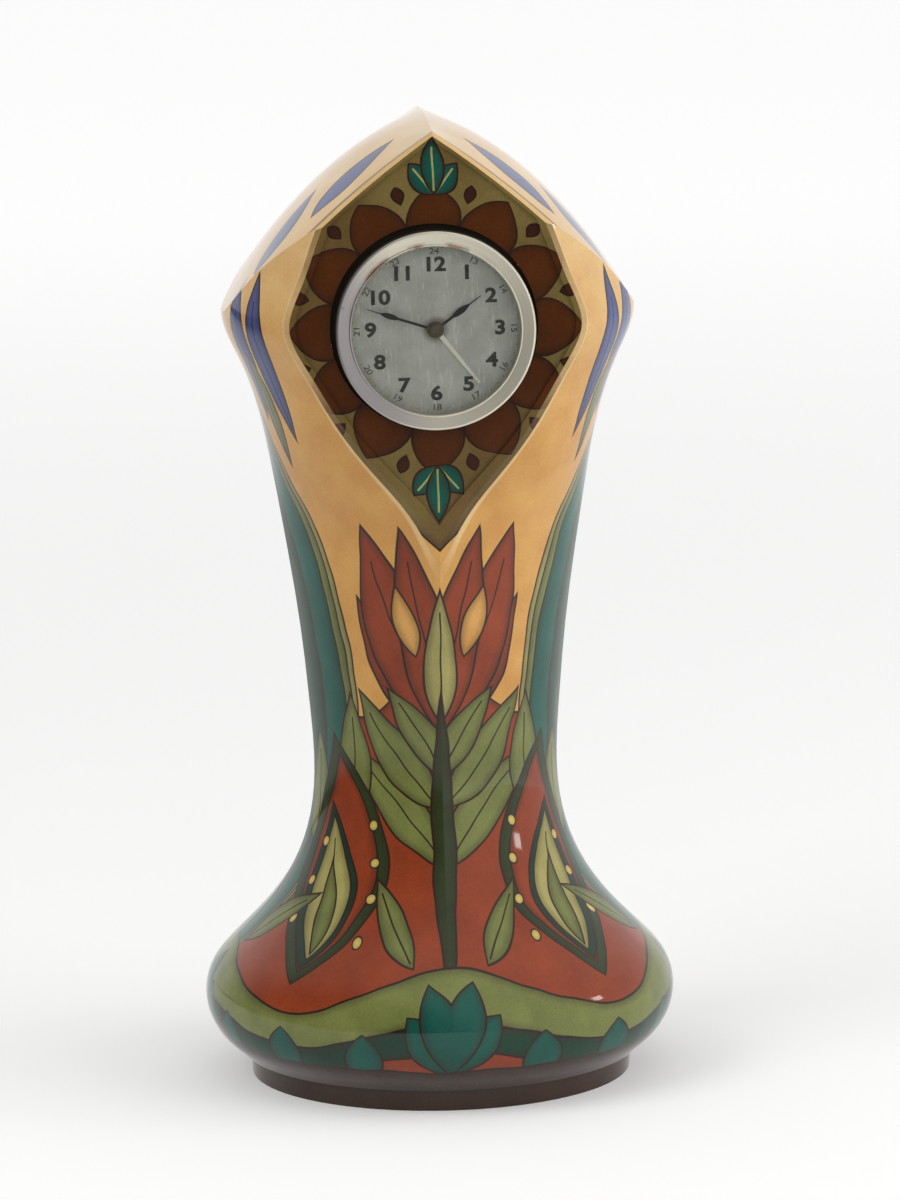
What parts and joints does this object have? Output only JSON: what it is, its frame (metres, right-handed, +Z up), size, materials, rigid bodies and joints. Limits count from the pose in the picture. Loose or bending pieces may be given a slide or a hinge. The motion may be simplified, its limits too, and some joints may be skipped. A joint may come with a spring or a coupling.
{
  "type": "mantel clock",
  "caption": "Tall glazed-pottery mantel clock with a bulbous foot, waisted neck and gabled top, holding a round key-wound alarm clock movement in its front.",
  "frame": {"origin": "centre of the foot, on the surface it stands on", "axes": "+Z up, the dial faces -Y, +X to the right of someone facing the dial"},
  "size_m": [0.1888, 0.1888, 0.3856],
  "materials": {
    "glazed_pottery": "high-gloss clear glaze over painted slip",
    "nickel_plate": "brushed nickel plate, worn",
    "dial_glass": "clear",
    "dial_face": "aged silvering",
    "brass_parts": "satin",
    "steel_parts": "satin",
    "black_hands": "satin black",
    "pale_hand": "satin"
  },
  "bodies": {
    "root": {"ceramic_case": "glazed_pottery", "drum_case": "nickel_plate", "bezel": "nickel_plate", "glass": "dial_glass", "dial_ring": "brass_parts", "dial": "dial_face", "front_plate": "brass_parts", "back_plate": "brass_parts", "pillars": "brass_parts", "pillar_nuts": "brass_parts", "cover_posts": "brass_parts", "back_cover": "nickel_plate", "cover_screws": "steel_parts", "case_clips": "steel_parts", "clip_screws": "steel_parts", "bell": "steel_parts", "bell_post": "brass_parts", "hairspring": "steel_parts", "hairspring_stud": "steel_parts", "time_mainspring": "steel_parts", "alarm_mainspring": "steel_parts", "minute_stud": "steel_parts"},
    "hand_setting": {"centre_arbor": "steel_parts", "cannon_pinion": "brass_parts", "minute_hand": "black_hands", "hand_nut": "brass_parts", "hand_set_knob": "brass_parts"},
    "minute_work": {"minute_wheel": "brass_parts", "minute_pinion": "steel_parts"},
    "hour_work": {"hour_wheel": "brass_parts", "hour_hand": "black_hands"},
    "alarm_hand_work": {"alarm_wheel": "brass_parts", "alarm_hand": "pale_hand"},
    "alarm_setting": {"alarm_set_arbor": "steel_parts", "alarm_set_knob": "brass_parts"},
    "centre_wheel_body": {"centre_wheel": "brass_parts", "centre_pinion": "steel_parts"},
    "great_wheel_body": {"great_wheel": "brass_parts", "time_click": "steel_parts"},
    "time_winding": {"time_winding_arbor": "steel_parts", "time_ratchet": "steel_parts", "time_winding_key": "nickel_plate"},
    "third_wheel_body": {"third_pinion": "steel_parts", "third_wheel": "brass_parts"},
    "fourth_wheel_body": {"fourth_pinion": "steel_parts", "fourth_wheel": "brass_parts"},
    "escape_wheel_body": {"escape_pinion": "steel_parts", "escape_wheel": "brass_parts"},
    "lever_body": {"pallet_lever": "steel_parts"},
    "balance_body": {"balance_wheel": "brass_parts", "balance_staff": "steel_parts"},
    "regulator_body": {"regulator": "steel_parts"},
    "alarm_great_body": {"alarm_great_wheel": "brass_parts", "alarm_click": "steel_parts"},
    "alarm_winding": {"alarm_winding_arbor": "steel_parts", "alarm_ratchet": "steel_parts", "alarm_winding_key": "nickel_plate"},
    "alarm_escape_body": {"alarm_escape_wheel": "brass_parts"},
    "hammer_body": {"hammer": "steel_parts"},
    "stop_body": {"alarm_stop_button": "steel_parts"}
  },
  "joints": [
    {"name": "hand_setting_turn", "type": "hinge", "parent": "root", "child": "hand_setting", "pos_m": [0, -0.035, 0.30667], "axis": [0, 1, 0], "continuous": true},
    {"name": "minute_wheel_turn", "type": "hinge", "parent": "root", "child": "minute_work", "pos_m": [-0.00902, -0.035, 0.30338], "axis": [0, 1, 0], "continuous": true},
    {"name": "hour_hand_turn", "type": "hinge", "parent": "root", "child": "hour_work", "pos_m": [0, -0.035, 0.30667], "axis": [0, 1, 0], "continuous": true},
    {"name": "alarm_setting_turn", "type": "hinge", "parent": "root", "child": "alarm_setting", "pos_m": [0.01477, -0.035, 0.30927], "axis": [0, 1, 0], "continuous": true},
    {"name": "alarm_hand_turn", "type": "hinge", "parent": "root", "child": "alarm_hand_work", "pos_m": [0, -0.035, 0.30667], "axis": [0, 1, 0], "continuous": true},
    {"name": "fourth_wheel_turn", "type": "hinge", "parent": "root", "child": "fourth_wheel_body", "pos_m": [-0.00198, -0.035, 0.32341], "axis": [0, 1, 0], "continuous": true},
    {"name": "third_wheel_turn", "type": "hinge", "parent": "root", "child": "third_wheel_body", "pos_m": [-0.01096, -0.035, 0.31587], "axis": [0, 1, 0], "continuous": true},
    {"name": "centre_wheel_turn", "type": "hinge", "parent": "root", "child": "centre_wheel_body", "pos_m": [0, -0.035, 0.30667], "axis": [0, 1, 0], "continuous": true},
    {"name": "great_wheel_turn", "type": "hinge", "parent": "root", "child": "great_wheel_body", "pos_m": [-0.01307, -0.035, 0.29751], "axis": [0, 1, 0], "continuous": true},
    {"name": "escape_wheel_turn", "type": "hinge", "parent": "root", "child": "escape_wheel_body", "pos_m": [0.00866, -0.035, 0.32153], "axis": [0, 1, 0], "continuous": true},
    {"name": "time_key_wind", "type": "hinge", "parent": "great_wheel_body", "child": "time_winding", "pos_m": [-0.01307, -0.035, 0.29751], "axis": [0, -1, 0], "range_deg": [0, 1800]},
    {"name": "pallet_lever_rock", "type": "hinge", "parent": "root", "child": "lever_body", "pos_m": [0.01712, -0.035, 0.32461], "axis": [0, 1, 0], "range_deg": [-4, 4]},
    {"name": "balance_swing", "type": "hinge", "parent": "root", "child": "balance_body", "pos_m": [0.02134, -0.035, 0.31555], "axis": [0, 1, 0], "range_deg": [-150, 150]},
    {"name": "regulator_shift", "type": "hinge", "parent": "root", "child": "regulator_body", "pos_m": [0.02134, -0.035, 0.31555], "axis": [0, 1, 0], "range_deg": [-15, 15]},
    {"name": "alarm_great_wheel_turn", "type": "hinge", "parent": "root", "child": "alarm_great_body", "pos_m": [0.01517, -0.035, 0.29507], "axis": [0, 1, 0], "continuous": true},
    {"name": "alarm_key_wind", "type": "hinge", "parent": "alarm_great_body", "child": "alarm_winding", "pos_m": [0.01517, -0.035, 0.29507], "axis": [0, -1, 0], "range_deg": [0, 1440]},
    {"name": "alarm_escape_turn", "type": "hinge", "parent": "root", "child": "alarm_escape_body", "pos_m": [0.00669, -0.035, 0.28496], "axis": [0, 1, 0], "continuous": true},
    {"name": "hammer_strike", "type": "hinge", "parent": "root", "child": "hammer_body", "pos_m": [-0.0012, -0.035, 0.28208], "axis": [0, 1, 0], "range_deg": [-3, 3]},
    {"name": "alarm_stop_press", "type": "slide", "parent": "root", "child": "stop_body", "axis": [0, -1, 0], "range_m": [0, 0.0025], "stiffness_N_per_m": 40}
  ],
  "couplings": [
    {"joint": "minute_wheel_turn", "follows": "hand_setting_turn", "ratio": -0.33333},
    {"joint": "hour_hand_turn", "follows": "hand_setting_turn", "ratio": 0.083333},
    {"joint": "alarm_hand_turn", "follows": "alarm_setting_turn", "ratio": -0.5},
    {"joint": "third_wheel_turn", "follows": "fourth_wheel_turn", "ratio": -0.13333},
    {"joint": "centre_wheel_turn", "follows": "fourth_wheel_turn", "ratio": 0.016667},
    {"joint": "great_wheel_turn", "follows": "fourth_wheel_turn", "ratio": -0.0027778},
    {"joint": "escape_wheel_turn", "follows": "fourth_wheel_turn", "ratio": -8},
    {"joint": "alarm_escape_turn", "follows": "alarm_great_wheel_turn", "ratio": -7}
  ]
}
